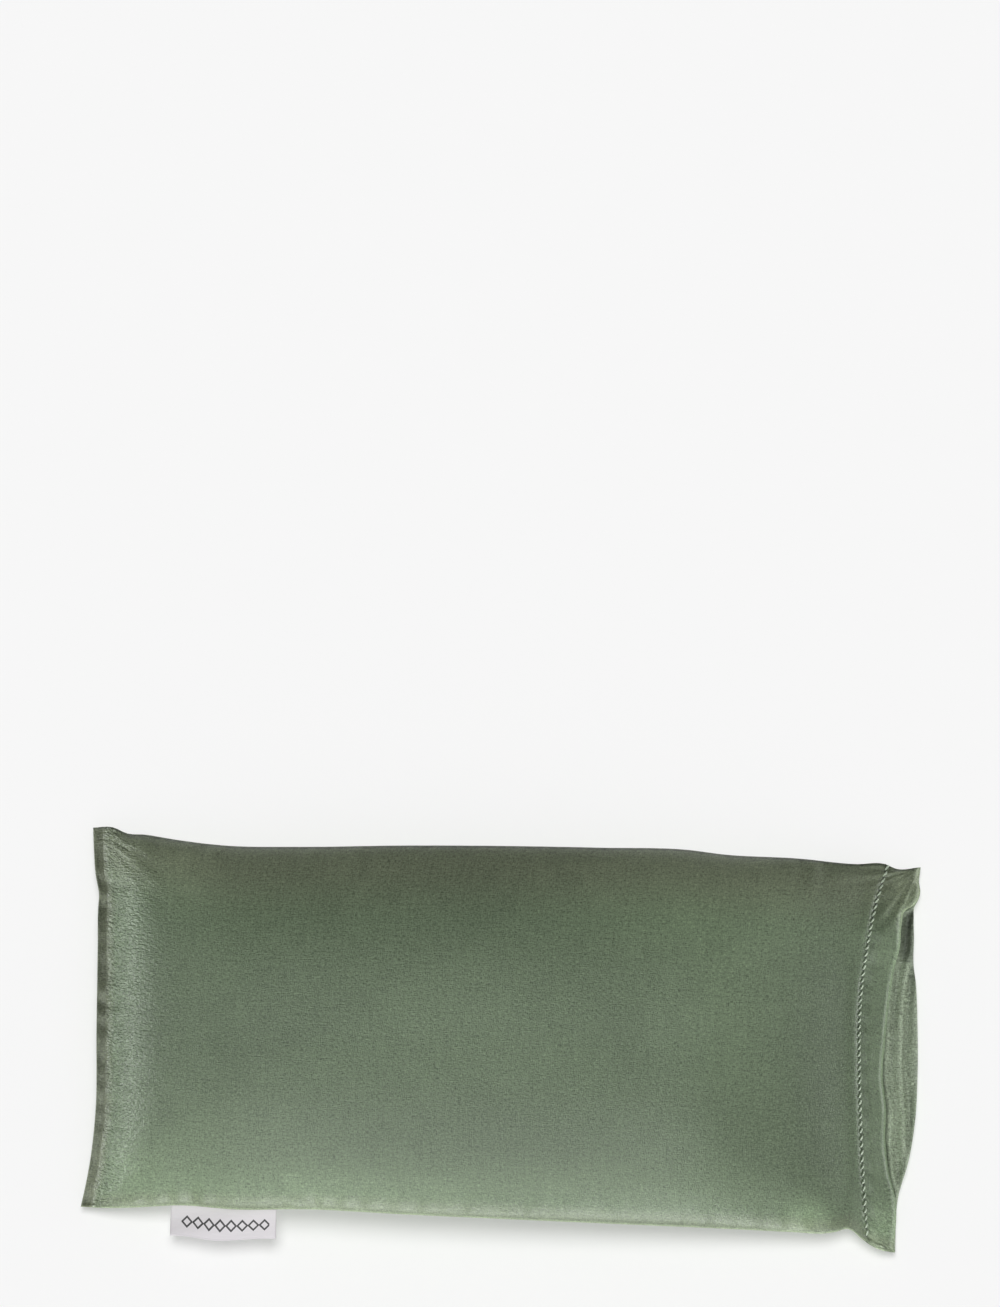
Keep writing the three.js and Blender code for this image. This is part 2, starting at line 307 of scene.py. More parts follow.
def relaxed(grids):
    """The grids after the cloth has settled over the filling, held at its seams and lips."""
    rows, columns = grids[0].shape[:2]
    count = rows * columns
    points = np.concatenate([grid.reshape(-1, 3) for grid in grids])
    welded = np.arange(2 * count)
    numbers = np.arange(count).reshape(rows, columns)
    border = np.concatenate([numbers[0], numbers[1:, 0], numbers[1:, -1]])
    welded[border + count] = border
    faces = np.concatenate([grid_faces(rows, columns), grid_faces(rows, columns, count, True)])
    kept, compact = np.unique(welded[faces], return_inverse=True)
    compact = compact.reshape(faces.shape)
    piece = mesh_object("cloth", points[kept] * CLOTH_SCALE, compact)
    held = np.unique(np.concatenate([border, numbers[-1], numbers[-1] + count]))
    held = np.flatnonzero(np.isin(kept, held))
    pins = piece.vertex_groups.new(name="held")
    pins.add([int(i) for i in held], 1.0, "REPLACE")
    cloth = piece.modifiers.new("cloth", "CLOTH")
    settings = cloth.settings
    settings.quality = 6
    settings.mass = 0.2
    settings.tension_stiffness = 12
    settings.compression_stiffness = 8
    settings.shear_stiffness = 4
    settings.bending_stiffness = 0.25
    settings.tension_damping = 8
    settings.compression_damping = 8
    settings.shrink_min = -CLOTH_SPARE
    settings.use_pressure = True
    settings.uniform_pressure_force = 4
    settings.vertex_group_mass = "held"
    settings.effector_weights.gravity = 0
    cloth.point_cache.frame_start = 1
    cloth.point_cache.frame_end = CLOTH_FRAMES
    scene = bpy.context.scene
    for number in range(1, CLOTH_FRAMES + 1):
        scene.frame_set(number)
    settled = piece.evaluated_get(bpy.context.evaluated_depsgraph_get())
    moved = np.zeros(len(kept) * 3)
    settled.data.vertices.foreach_get("co", moved)
    moved = moved.reshape(-1, 3) / METRE / CLOTH_SCALE
    bpy.data.objects.remove(piece)
    scene.frame_set(1)
    whole = points.copy()
    whole[kept] = moved
    whole[count + border] = whole[border]
    shift = (whole - points).reshape(2, rows, columns, 3)
    for _ in range(3):
        shift[:, 1:-1] = (shift[:, :-2] + 2 * shift[:, 1:-1] + shift[:, 2:]) / 4
        shift[:, :, 1:-1] = (shift[:, :, :-2] + 2 * shift[:, :, 1:-1] + shift[:, :, 2:]) / 4
    shift = shift.reshape(-1, 3)
    size = np.linalg.norm(shift, axis=1, keepdims=True)
    shift *= CLOTH_CAP * np.tanh(size / CLOTH_CAP) / np.maximum(size, 1e-9)
    return shift.reshape(2, rows, columns, 3)


def resampled(field, from_rows, from_columns, to_rows, to_columns):
    """A field on one grid of shares read on another, smoothly."""
    columns = np.stack([
        np.stack([through(np.stack([from_rows, field[:, j, k]], axis=1), to_rows)
                  for j in range(field.shape[1])], axis=1)
        for k in range(field.shape[2])], axis=-1)
    return np.stack([
        np.stack([through(np.stack([from_columns, columns[i, :, k]], axis=1), to_columns)
                  for i in range(columns.shape[0])], axis=0)
        for k in range(field.shape[2])], axis=-1)


def cover_grids():
    """The two panels' outer faces, relaxed as cloth."""
    along, across = along_shares(), across_shares()
    grids = drawn_grids(along, across)
    coarse_along = np.concatenate([
        np.linspace(0, 1, COARSE_BODY), np.linspace(1, 2, COARSE_HEM)[1:]])
    coarse_across = np.linspace(0, 1, COARSE_ACROSS)
    shifts = relaxed(drawn_grids(coarse_along, coarse_across))
    ends = (1 - 0.9 * step(0.74, 0.9, along)) * (1 - 0.9 * step(0.2, 0.06, along))
    sides = 1 - 0.8 * step(0.34, 0.04, np.minimum(across, 1 - across))
    calm = ends[:, None, None] * sides[None, :, None]
    settled = [grid + calm * resampled(shift, coarse_along, coarse_across, along, across)
               for grid, shift in zip(grids, shifts)]
    settled[1][..., 2] = np.maximum(settled[1][..., 2], TABLE_CLEARANCE)
    return settled


# ---- Meshes ----------------------------------------------------------------------------------

def grid_normals(grid):
    """Unit normals of a grid of points, on the side from which along and across turn left."""
    along = np.gradient(grid, axis=0)
    across = np.gradient(grid, axis=1)
    normal = np.cross(along, across)
    return normal / np.maximum(np.linalg.norm(normal, axis=-1, keepdims=True), 1e-9)


def mesh_object(name, points, faces, uv=None, face_materials=None, smooth=True):
    """A mesh object from points in millimetres."""
    mesh = bpy.data.meshes.new(name)
    mesh.from_pydata((np.asarray(points) * METRE).tolist(), [], [tuple(face) for face in faces])
    if smooth:
        mesh.polygons.foreach_set("use_smooth", [True] * len(mesh.polygons))
    if uv is not None:
        layer = mesh.uv_layers.new(name="cloth")
        corner = np.zeros(len(mesh.loops), int)
        mesh.loops.foreach_get("vertex_index", corner)
        layer.data.foreach_set("uv", np.asarray(uv, np.float32)[corner].ravel())
    if face_materials is not None:
        mesh.polygons.foreach_set("material_index", face_materials)
    mesh.update()
    piece = bpy.data.objects.new(name, mesh)
    bpy.context.scene.collection.objects.link(piece)
    return piece


def grid_faces(rows, columns, first=0, flip=False):
    """Quads of a grid of points numbered row by row from first."""
    i, j = np.meshgrid(np.arange(rows - 1), np.arange(columns - 1), indexing="ij")
    a = (first + i * columns + j).ravel()
    quads = np.stack([a, a + columns, a + columns + 1, a + 1], axis=1)
    return quads[:, ::-1] if flip else quads


def rim_faces(rows, columns, offset, flip=False):
    """Quads that join the borders of two equal grids, the second numbered from offset."""
    top = np.arange(columns)
    border = np.concatenate([
        top,
        np.arange(1, rows) * columns + columns - 1,
        ((rows - 1) * columns + top[::-1])[1:],
        np.arange(rows - 1)[::-1] * columns,
    ])
    a, b = border[:-1], border[1:]
    quads = np.stack([a, b, b + offset, a + offset], axis=1)
    return quads[:, ::-1] if flip else quads


def sheet_object(name, outer, inner, flip=False, uv=None, inner_material=0):
    """A closed sheet between two grids of points."""
    rows, columns = outer.shape[:2]
    count = rows * columns
    faces = np.concatenate([
        grid_faces(rows, columns, 0, flip),
        grid_faces(rows, columns, count, not flip),
        rim_faces(rows, columns, count, flip),
    ])
    materials = np.zeros(len(faces), int)
    materials[(rows - 1) * (columns - 1):2 * (rows - 1) * (columns - 1)] = inner_material
    points = np.concatenate([outer.reshape(-1, 3), inner.reshape(-1, 3)])
    both = None if uv is None else np.concatenate([uv.reshape(-1, 2)] * 2)
    return mesh_object(name, points, faces, both, materials)


def cords_object(name, paths, radius, sides=7):
    """One mesh of round cords, each along its own path of points, thinner at both ends."""
    points, faces = [], []
    for path in paths:
        first = len(points)
        along = np.gradient(path, axis=0)
        along /= np.linalg.norm(along, axis=1, keepdims=True)
        side = np.cross(along, [0.0, 0.0, 1.0])
        side /= np.maximum(np.linalg.norm(side, axis=1, keepdims=True), 1e-6)
        up = np.cross(side, along)
        thick = radius * np.sqrt(np.clip(1 - np.linspace(-0.96, 0.96, len(path)) ** 4, 0.05, 1))
        for centre, s, u, r in zip(path, side, up, thick):
            for k in range(sides):
                turn = 2 * math.pi * k / sides
                points.append(centre + r * (math.cos(turn) * s + math.sin(turn) * u))
        for i in range(len(path) - 1):
            for k in range(sides):
                a = first + i * sides + k
                b = first + i * sides + (k + 1) % sides
                faces.append((a, b, b + sides, a + sides))
        last = first + (len(path) - 1) * sides
        faces.append(tuple(first + k for k in reversed(range(sides))))
        faces.append(tuple(last + k for k in range(sides)))
    return mesh_object(name, points, faces)


# ---- Materials -------------------------------------------------------------------------------

def new_material(name):
    """A node material; returns it with its node tree and its Principled shader."""
    material = bpy.data.materials.new(name)
    material.use_nodes = True
    tree = material.node_tree
    return material, tree, tree.nodes["Principled BSDF"]


def node(tree, kind, **settings):
    """A new node; settings that name an input set its value, and the rest set properties."""
    made = tree.nodes.new(kind)
    for name, value in settings.items():
        label = name.replace("_", " ")
        if label in made.inputs:
            made.inputs[label].default_value = value
        else:
            setattr(made, name, value)
    return made


def link(tree, a, b):
    tree.links.new(a, b)


def math_node(tree, operation, a, b=None, c=None):
    """A maths node on sockets or numbers."""
    made = tree.nodes.new("ShaderNodeMath")
    made.operation = operation
    for i, value in enumerate((a, b, c)):
        if value is None:
            continue
        if isinstance(value, (int, float)):
            made.inputs[i].default_value = value
        else:
            tree.links.new(value, made.inputs[i])
    return made.outputs[0]


def cloth_coordinates(tree, scale):
    """The cloth's own coordinates, in millimetres times a scale for each direction."""
    uv = node(tree, "ShaderNodeUVMap", uv_map="cloth")
    mapping = node(tree, "ShaderNodeMapping")
    mapping.inputs["Scale"].default_value = scale
    link(tree, uv.outputs["UV"], mapping.inputs["Vector"])
    return mapping.outputs["Vector"]


def yarn_noise(tree, across_yarns, along_yarns, detail=2.0, lengthways=True):
    """Noise drawn out along the yarns: the uneven thickness of single yarns."""
    scale = (along_yarns, across_yarns, 1) if lengthways else (across_yarns, along_yarns, 1)
    noise = node(tree, "ShaderNodeTexNoise", Scale=1.0, Detail=detail, Roughness=0.6)
    link(tree, cloth_coordinates(tree, scale), noise.inputs["Vector"])
    return noise.outputs["Fac"]


def mixed_colour(tree, factor, dark, light, beyond=False):
    """A colour between two, by a factor socket, or beyond them where the factor is past 0 to 1."""
    mix = node(tree, "ShaderNodeMix", data_type="RGBA", clamp_factor=not beyond)
    link(tree, factor, mix.inputs["Factor"])
    mix.inputs[6].default_value = (*dark, 1)
    mix.inputs[7].default_value = (*light, 1)
    return mix.outputs[2]


def scaled(colour, share):
    return tuple(channel * share for channel in colour)


def needle_hole_shade(tree):
    """Painted shade in the needle holes and along the pressed line beside the stitches; 1 elsewhere."""
    marks = node(tree, "ShaderNodeSeparateXYZ")
    stored = node(tree, "ShaderNodeAttribute", attribute_name="stitching")
    link(tree, stored.outputs["Vector"], marks.inputs["Vector"])
    place, past = marks.outputs["X"], marks.outputs["Y"]
    turn = math_node(tree, "ABSOLUTE", math_node(tree, "SUBTRACT", math_node(tree, "FRACT", place), 0.5))
    aside = math_node(tree, "ABSOLUTE", math_node(tree, "ADD", past, 0.28))
    size = math_node(tree, "MAXIMUM", math_node(tree, "MULTIPLY", turn, 2.6), aside)
    hole = math_node(tree, "SMOOTH_MIN", math_node(tree, "MULTIPLY", size, 1.9), 1.0, 0.3)
    line = math_node(tree, "ABSOLUTE", math_node(tree, "ADD", past, 1.15))
    pressed = math_node(tree, "SMOOTH_MIN", math_node(tree, "MULTIPLY_ADD", line, 1.1, 0.7), 1.0, 0.1)
    return math_node(tree, "MAXIMUM", math_node(tree, "MULTIPLY", hole, pressed), 0.12)


def satin_material(name, colour, roughness, bump_depth):
    """Satin: fine crossed yarns, crepe ripples where the cloth is gathered, and a soft sheen."""
    material, tree, shader = new_material(name)
    weft = yarn_noise(tree, 3.4, 0.95)
    warp = yarn_noise(tree, 3.4, 1.1, lengthways=False)
    crepe = yarn_noise(tree, 1.5, 0.75, detail=1.0)
    yarns = math_node(tree, "ADD", weft, warp)
    slubs = math_node(tree, "ADD", yarn_noise(tree, 1.5, 0.12, detail=1.0),
                      yarn_noise(tree, 1.3, 0.1, detail=1.0, lengthways=False))
    uneven = math_node(tree, "MULTIPLY_ADD", slubs, 0.5, -2.0)
    grain = math_node(tree, "MULTIPLY_ADD", yarns, 2.0, uneven)
    # The colour carries painted light and shade: a dark and a light copy of the satin's colour, mixed by
    # the stored tone.
    tone = node(tree, "ShaderNodeAttribute", attribute_name="tone").outputs["Fac"]
    olive = node(tree, "ShaderNodeAttribute", attribute_name="olive").outputs["Fac"]
    gathered = node(tree, "ShaderNodeAttribute", attribute_name="gathered").outputs["Fac"]
    dark, light = scaled(colour, PAINTED_SHADE_SCALE), scaled(colour, PAINTED_LIGHT_SCALE)
    sage = mixed_colour(tree, tone, dark, light, beyond=True)
    # An olive tint where the seams are in painted shade.
    shaded_olive_mix = node(tree, "ShaderNodeMix", data_type="RGBA", blend_type="MULTIPLY")
    shaded_olive_mix.inputs[7].default_value = (*SHADE_OLIVE_TINT, 1)
    link(tree, olive, shaded_olive_mix.inputs["Factor"])
    link(tree, sage, shaded_olive_mix.inputs[6])
    brightness = math_node(tree, "MULTIPLY", math_node(tree, "MULTIPLY_ADD", grain, 0.9, 0.55),
                           needle_hole_shade(tree))
    shade = node(tree, "ShaderNodeCombineColor")
    for channel in ("Red", "Green", "Blue"):
        link(tree, brightness, shade.inputs[channel])
    grained = node(tree, "ShaderNodeMix", data_type="RGBA", blend_type="MULTIPLY")
    grained.inputs["Factor"].default_value = 1
    link(tree, shaded_olive_mix.outputs[2], grained.inputs[6])
    link(tree, shade.outputs["Color"], grained.inputs[7])
    link(tree, grained.outputs[2], shader.inputs["Base Color"])
    rough = math_node(tree, "MULTIPLY_ADD", yarns, 0.12, roughness - 0.12)
    link(tree, rough, shader.inputs["Roughness"])
    # The shine is full where the cloth is seen square on, and fades out towards edge on.
    aside = node(tree, "ShaderNodeLayerWeight", Blend=0.5).outputs["Facing"]
    shine = math_node(tree, "MAXIMUM", math_node(tree, "MULTIPLY_ADD", aside, -1.6, 1.28), 0.0)
    shader.inputs["Specular IOR Level"].default_value = SHINE
    link(tree, math_node(tree, "MINIMUM", shine, SHINE), shader.inputs["Specular IOR Level"])
    shader.inputs["Specular Tint"].default_value = (*SHINE_TINT, 1)
    shader.inputs["Sheen Weight"].default_value = 0.2
    shader.inputs["Sheen Roughness"].default_value = 0.4
    shader.inputs["Sheen Tint"].default_value = (*[0.5 + 0.5 * c for c in colour], 1)
    ripples = math_node(tree, "MULTIPLY", crepe, math_node(tree, "MULTIPLY_ADD", gathered, 5.5, 0.5))
    height = math_node(tree, "ADD", ripples, yarns)
    bump_node = node(tree, "ShaderNodeBump", Strength=1.0, Distance=bump_depth * METRE)
    link(tree, height, bump_node.inputs["Height"])
    link(tree, bump_node.outputs["Normal"], shader.inputs["Normal"])
    return material


def plain_weave_material(name, colour, roughness, pitch, bump_depth, grain=0.25):
    """A plain weave of round yarns at a pitch in millimetres, with uneven yarns."""
    material, tree, shader = new_material(name)
    turns = 2 * math.pi / pitch
    separate = node(tree, "ShaderNodeSeparateXYZ")
    link(tree, cloth_coordinates(tree, (1, 1, 1)), separate.inputs["Vector"])
    across = math_node(tree, "SINE", math_node(tree, "MULTIPLY", separate.outputs["X"], turns))
    along = math_node(tree, "SINE", math_node(tree, "MULTIPLY", separate.outputs["Y"], turns))
    weave = math_node(tree, "MULTIPLY", across, along)
    yarns = math_node(tree, "ADD", yarn_noise(tree, 2.0, 0.15),
                      yarn_noise(tree, 2.0, 0.15, lengthways=False))
    height = math_node(tree, "MULTIPLY_ADD", weave, 0.35, yarns)
    shade = math_node(tree, "MULTIPLY_ADD", math_node(tree, "SUBTRACT", height, 1.0), grain, 0.5)
    link(tree, mixed_colour(tree, shade, scaled(colour, 0.7), scaled(colour, 1.3)),
         shader.inputs["Base Color"])
    shader.inputs["Roughness"].default_value = roughness
    shader.inputs["Sheen Weight"].default_value = 0.15
    bump_node = node(tree, "ShaderNodeBump", Strength=1.0, Distance=bump_depth * METRE)
    link(tree, height, bump_node.inputs["Height"])
    link(tree, bump_node.outputs["Normal"], shader.inputs["Normal"])
    return material


def thread_material(name, colour, roughness):
    """Twisted sewing thread: fine bands that wind round it."""
    material, tree, shader = new_material(name)
    wave = node(tree, "ShaderNodeTexWave", wave_type="BANDS", bands_direction="DIAGONAL",
                Scale=900.0, Distortion=2.0)
    where = node(tree, "ShaderNodeTexCoord")
    link(tree, where.outputs["Object"], wave.inputs["Vector"])
    link(tree, mixed_colour(tree, wave.outputs["Fac"], scaled(colour, 0.75), scaled(colour, 1.2)),
         shader.inputs["Base Color"])
    shader.inputs["Roughness"].default_value = roughness
    shader.inputs["Sheen Weight"].default_value = 0.3
    bump_node = node(tree, "ShaderNodeBump", Strength=0.8, Distance=0.05 * METRE)
    link(tree, wave.outputs["Fac"], bump_node.inputs["Height"])
    link(tree, bump_node.outputs["Normal"], shader.inputs["Normal"])
    return material


SAGE = (0.127, 0.174, 0.103)
SAGE_REVERSE = (0.305, 0.37, 0.26)
SAGE_THREAD = (0.54, 0.64, 0.49)
LABEL_WHITE = (0.8, 0.77, 0.8)
COTTON = (0.74, 0.69, 0.58)
COTTON_THREAD = (0.85, 0.82, 0.74)
# The olive tint of the painted shade along the seams.
SHADE_OLIVE_TINT = (1.12, 0.93, 1.0)
SHINE_TINT = (0.92, 1.0, 0.9)
BACKDROP = (0.92, 0.92, 0.92)
LOZENGE_BLACK = (0.012, 0.012, 0.014)
SEED_DARK = (0.07, 0.025, 0.01)
SEED_LIGHT = (0.28, 0.12, 0.04)
FLOOR_DARK = (0.898, 0.898, 0.898)
FLOOR_LIGHT = (0.902, 0.902, 0.902)
PAINTED_SHADE_SCALE = 0.2  # times the satin's colour, where its tone is 0: its deepest painted shade
PAINTED_LIGHT_SCALE = 1.8  # and where its tone is 1: its brightest painted light
SHINE = 0.8  # the satin's specular level where it is seen square on


# ---- Cover -----------------------------------------------------------------------------------

CLOTH_THICKNESS = 0.45
HEM_THICKNESS = 1.0
SEAM_LAYER = 0.3  # half of the seam allowance's thickness
HEM_DEPTH = 8.0  # between the row of stitches and the lip, about
STITCH_COUNT = 55  # gaps in a row, of which the first holds no stitch
STITCH_GROOVE = 0.35
STITCH_RADIUS = 0.25
STITCH_SLANT = 0.35  # along the cover, at each end of a stitch
STITCH_LIFT = 0.16  # of a stitch's ends above the cloth
STITCH_ARCH = 0.16  # of its middle above its ends
REAR_SHADE_DASH_PITCH = 2.4  # of the dashes of painted shade seen along the rear seam
RIDGE_PITCH = 3.7  # of the folds along the lower hem
FLANGE = 3.2  # flat cloth outside the fill at the closed end
EDGE_INSET = 0.2  # by which a panel's edges are drawn in
SEAM_INSET = 1.5  # of the seam's thread from the cover's edge
SEAM_PITCH = 2.0
SEAM_THREAD_RADIUS = 0.08
SEAM_THREAD_LIFT = 0.1  # of each of its two threads from the middle
SHEET_GAP = 0.03  # at least this from each panel to the middle between the two
LIP_FROM = 1.86  # share along at which the lip's fold begins, where 2 is the lip
FOLD_REACH = 17  # of the creases from a corner
FOLD_PLEATS = 5
CORNER_FOLDS = [  # x, y, seed, depth
    (114, 50, 61, 0.3), (111, -57, 64, 0.15), (-117, 53, 66, 0.25), (-115, -52, 67, 0.3),
]


def seam_distance(grid):
    """Distance of each point, seen from above, from the nearer side seam."""
    x, y = grid[..., 0], grid[..., 1]
    return np.minimum(y - front_y(x), rear_y(x) - y)


def stitch_row():
    return int(np.argmin(np.abs(along_shares() - 1)))


def hem_relief(along, across):
    """The stitch line's groove, deepest at each needle hole, and the swell of the hem beside it."""
    place = np.where(along > 1, (along - 1) * HEM_DEPTH, (along - 1) * 2 * HALF_LENGTH)
    hole = 0.5 + 0.5 * np.cos(2 * math.pi * across * STITCH_COUNT)
    groove = -STITCH_GROOVE * bump(place, 0, 0.7) * (0.7 + 0.6 * hole)
    swell = 0.28 * bump(place, 2.3, 1.6) + 0.16 * bump(place, -2.0, 1.4)
    pucker = 0.08 * np.sin(2 * math.pi * across * STITCH_COUNT / 3 + 2) * bump(place, 1.8, 2.0)
    return groove + swell + pucker


def lip_roll(grid, lip):
    """How far the fold of the hem turns down towards the lip."""
    past = np.clip(1 - (lip_x(grid[..., 1], lip) - grid[..., 0]) / 1.8, 0, 1)
    return -0.6 * past**2


def past_upper_lip(x, y):
    """How far out of the mouth a point is, along a line that wanders a little."""
    return x - lip_x(y, UPPER_LIP) + 0.7 * np.sin(y / 13)


def mouth_folds(grid):
    """Ridges that run along the lower hem, inside the mouth, and its rolled edge."""
    x, y = grid[..., 0], grid[..., 1]
    past = past_upper_lip(x, y)
    inside = step(-46, -34, y) * step(44, 36, y)
    ridges = 0.5 * np.cos(2 * math.pi * (past + 0.2) / RIDGE_PITCH) + 0.5
    edge = 0.6 * step(1.4, 0.2, lip_x(y, LOWER_LIP) - x)
    return inside * (ridges * step(-4, -1, past) + edge + 0.2 * waves(x / 9, y / 16, 81))


LABEL_CREASES = [  # from x, y, to x, y, height
    (-64.5, -42.5, -56, -50.5, 0.45), (-60, -40, -50, -50.5, -0.25), (-91, -44, -88, -51, 0.3),
]


def label_creases(grid):
    """Short creases where the label pulls on the seam."""
    x, y = grid[..., 0], grid[..., 1]
    total = np.zeros_like(x)
    for x0, y0, x1, y1, height in LABEL_CREASES:
        aside, share = past_line(x, y, (x0, y0), (x1, y1))
        total += height * bump(aside, 0, 1.1) * step(-0.5, 0.6, share) * step(1.3, 1.0, share)
    return total


def seam_puckers(grid, seed):
    """Small ripples that run in from the side seams and the closed end and die away."""
    x, y = grid[..., 0], grid[..., 1]
    side = np.maximum(seam_distance(grid), 0)
    end = np.maximum(x - closed_x(y), 0)
    from_side = noise_along(x / 9, seed) * bump(side, 1.5, 4.5)
    from_end = noise_along(y / 8, seed + 1) * bump(end, 2.0, 6.0)
    return 0.22 * from_side + 0.3 * from_end


def corner_folds(grid, corner_x, corner_y, seed, depth):
    """Creases that fan out of a corner."""
    dx = grid[..., 0] - corner_x
    dy = grid[..., 1] - corner_y
    distance = np.hypot(dx, dy)
    angle = np.arctan2(dy, dx)
    fan = noise_along(angle * FOLD_PLEATS / math.pi * 2 + distance / 60, seed)
    return depth * fan * step(0, 6, distance) * np.exp(-((distance / FOLD_REACH) ** 1.6))


def turned_edge(sheet):
    """Draws the outermost points along the seams in a little."""
    rolled = sheet.copy()
    for line, inward in ((np.s_[:, 0], (0, 1)), (np.s_[:, -1], (0, -1)), (np.s_[0, :], (1, 0))):
        rolled[line][..., 0] += inward[0] * EDGE_INSET
        rolled[line][..., 1] += inward[1] * EDGE_INSET
    return rolled


def cloth_uv(grid):
    """The cloth's own coordinates, in millimetres measured along the sheet."""
    along = np.linalg.norm(np.diff(grid, axis=0), axis=-1)
    across = np.linalg.norm(np.diff(grid, axis=1), axis=-1)
    u = np.concatenate([np.zeros((1, grid.shape[1])), np.cumsum(along, axis=0)])
    v = np.concatenate([np.zeros((grid.shape[0], 1)), np.cumsum(across, axis=1)], axis=1)
    u += grid[0, :, 0][None, :]
    v -= v[:, v.shape[1] // 2][:, None]
    return np.stack([u, v], axis=-1)


# The satin's painted sheen and painted shade, set to be like the photo's: x, y, length, width and how much
# lighter.
PAINTED_SHEEN_AND_SHADE = [
    (60, 36, 40, 14, 0.34), (58, 8, 15, 22, 0.2),  # painted sheen along the rear and before the mouth
    (0, -28, 62, 12, -0.28), (-74, -6, 30, 20, -0.12),  # painted shade on the front slope and the closed half
    (-50, -46, 44, 6, 0.28),  # a painted light line by the front seam
    (-100, 0, 9, 34, -0.2), (-92, 42, 10, 10, 0.26), (-102, -44, 14, 12, 0.24),  # painted shade on the closed end, painted sheen on its corners
    (90, 0, 10, 60, -0.24), (104, 0, 7, 60, 0.06),  # painted shade on the slope to the hem, and painted light on the hem
    (86, -48, 7, 5, 0.8), (106, -51, 5, 7, 0.8), (112, 42, 5, 7, 0.5),  # painted highlights on the mouth's ears
]


def satin_painted_light(grid):
    """Painted light and shade on the satin, 0 to 1.5: painted sheen and shade that turn with the cloth's
    broad folds, and painted highlights and shade along its seams and lip.
    """
    x, y = grid[..., 0], grid[..., 1]
    tone = 0.5 + 0.015 * waves(x / 30, y / 18, 71)
    for at_x, at_y, length, width, change in PAINTED_SHEEN_AND_SHADE:
        spread = np.exp(-((x - at_x) / length) ** 2 - ((y - at_y) / width) ** 2)
        tone = tone + change / (PAINTED_LIGHT_SCALE - PAINTED_SHADE_SCALE) * spread
    # A painted sheen lies between two slanting bounds, and these are the distances to the right of each.
    past_left_fold = (x + 50) * 0.55 - y * 0.83
    past_right_fold = (x - 44) * 0.6 + (y + 18) * 0.8
    tone = tone + 0.045 * step(-3, 5, past_left_fold) - 0.045 * step(-6, 8, past_right_fold)
    # Painted shade in a dashed dark line along the rear seam, taken off on the last line.
    thread = 0.75 + 0.25 * np.cos(2 * math.pi * x / REAR_SHADE_DASH_PITCH)
    # A painted highlight along the front seam's rim, and painted shade on the flat flange at the closed
    # end.
    front = y - front_y(x)
    flange = step(FLANGE + 0.7, FLANGE, x - closed_x(y))
    tone = tone + 0.6 * step(0.8, 0.3, front) - 0.12 * flange
    # A painted highlight along the upper lip's fold.
    tone = tone + 0.45 * step(1.6, 0.7, lip_x(y, UPPER_LIP) - x)
    return np.clip(tone - 0.4 * thread * step(1.0, 0.6, rear_y(x) - y), 0, 1.5)


def reverse_painted_light(grid):
    """Painted light and shade on the inner face: painted shade where it is shut in at the mouth's rear
    corner and along the lower lip's rim, painted light where it is open at its front, and painted light
    and shade in rows along its ridges.
    """
    x, y = grid[..., 0], grid[..., 1]
    shut = step(22, 26, y) * step(40, 36, y)
    rows = 0.07 * np.cos(2 * math.pi * past_upper_lip(x, y) / RIDGE_PITCH)
    rim = step(3.2, 1.2, lip_x(y, LOWER_LIP) - x)
    return 0.5 - 0.27 * shut + 0.12 * bump(y, -24, 12) + rows - 0.14 * rim


def edge_shade_olive(grid):
    """Where the satin is seen edge on, along its seams, painted shade tints it olive."""
    x, y = grid[..., 0], grid[..., 1]
    rear = step(22, 4, rear_y(x) - y)
    front = step(6, 1.5, y - front_y(x))
    closed = step(5, 3, x - closed_x(y))
    return np.maximum(np.maximum(0.75 * rear, 0.5 * front), closed)


def gathered_cloth(grid):
    """Where the seams gather the satin into crepe ripples: beside the closed end and the mouth."""
    x, y = grid[..., 0], grid[..., 1]
    place = x - closed_x(y) + 0.5 * waves(x / 5, y / 9, 73)
    closed = step(FLANGE, FLANGE + 1, place) * (0.25 * step(26, 12, place) + 0.75 * step(14, 6, place))
    mouth = step(8, 1, lip_x(y, LOWER_LIP) - x)
    return np.maximum(closed, 0.5 * mouth)


def store(piece, name, values):
    """Stores a value for each point of a sheet, the outer face's first, for its material."""
    attribute = piece.data.attributes.new(name, "FLOAT", "POINT")
    flat = np.concatenate([part.ravel() for part in values])
    attribute.data.foreach_set("value", flat.astype(np.float32))


def store_stitching(piece, along, across):
    """Stores where each point is along the row of stitches, in stitches, and past it, in mm."""
    past = np.where(along > 1, (along - 1) * HEM_DEPTH, (along - 1) * 2 * HALF_LENGTH)
    flat = np.stack([across * STITCH_COUNT + 0.5, past, 0 * past], axis=-1).reshape(-1, 3)
    attribute = piece.data.attributes.new("stitching", "FLOAT_VECTOR", "POINT")
    attribute.data.foreach_set("vector", np.tile(flat, (2, 1)).astype(np.float32).ravel())


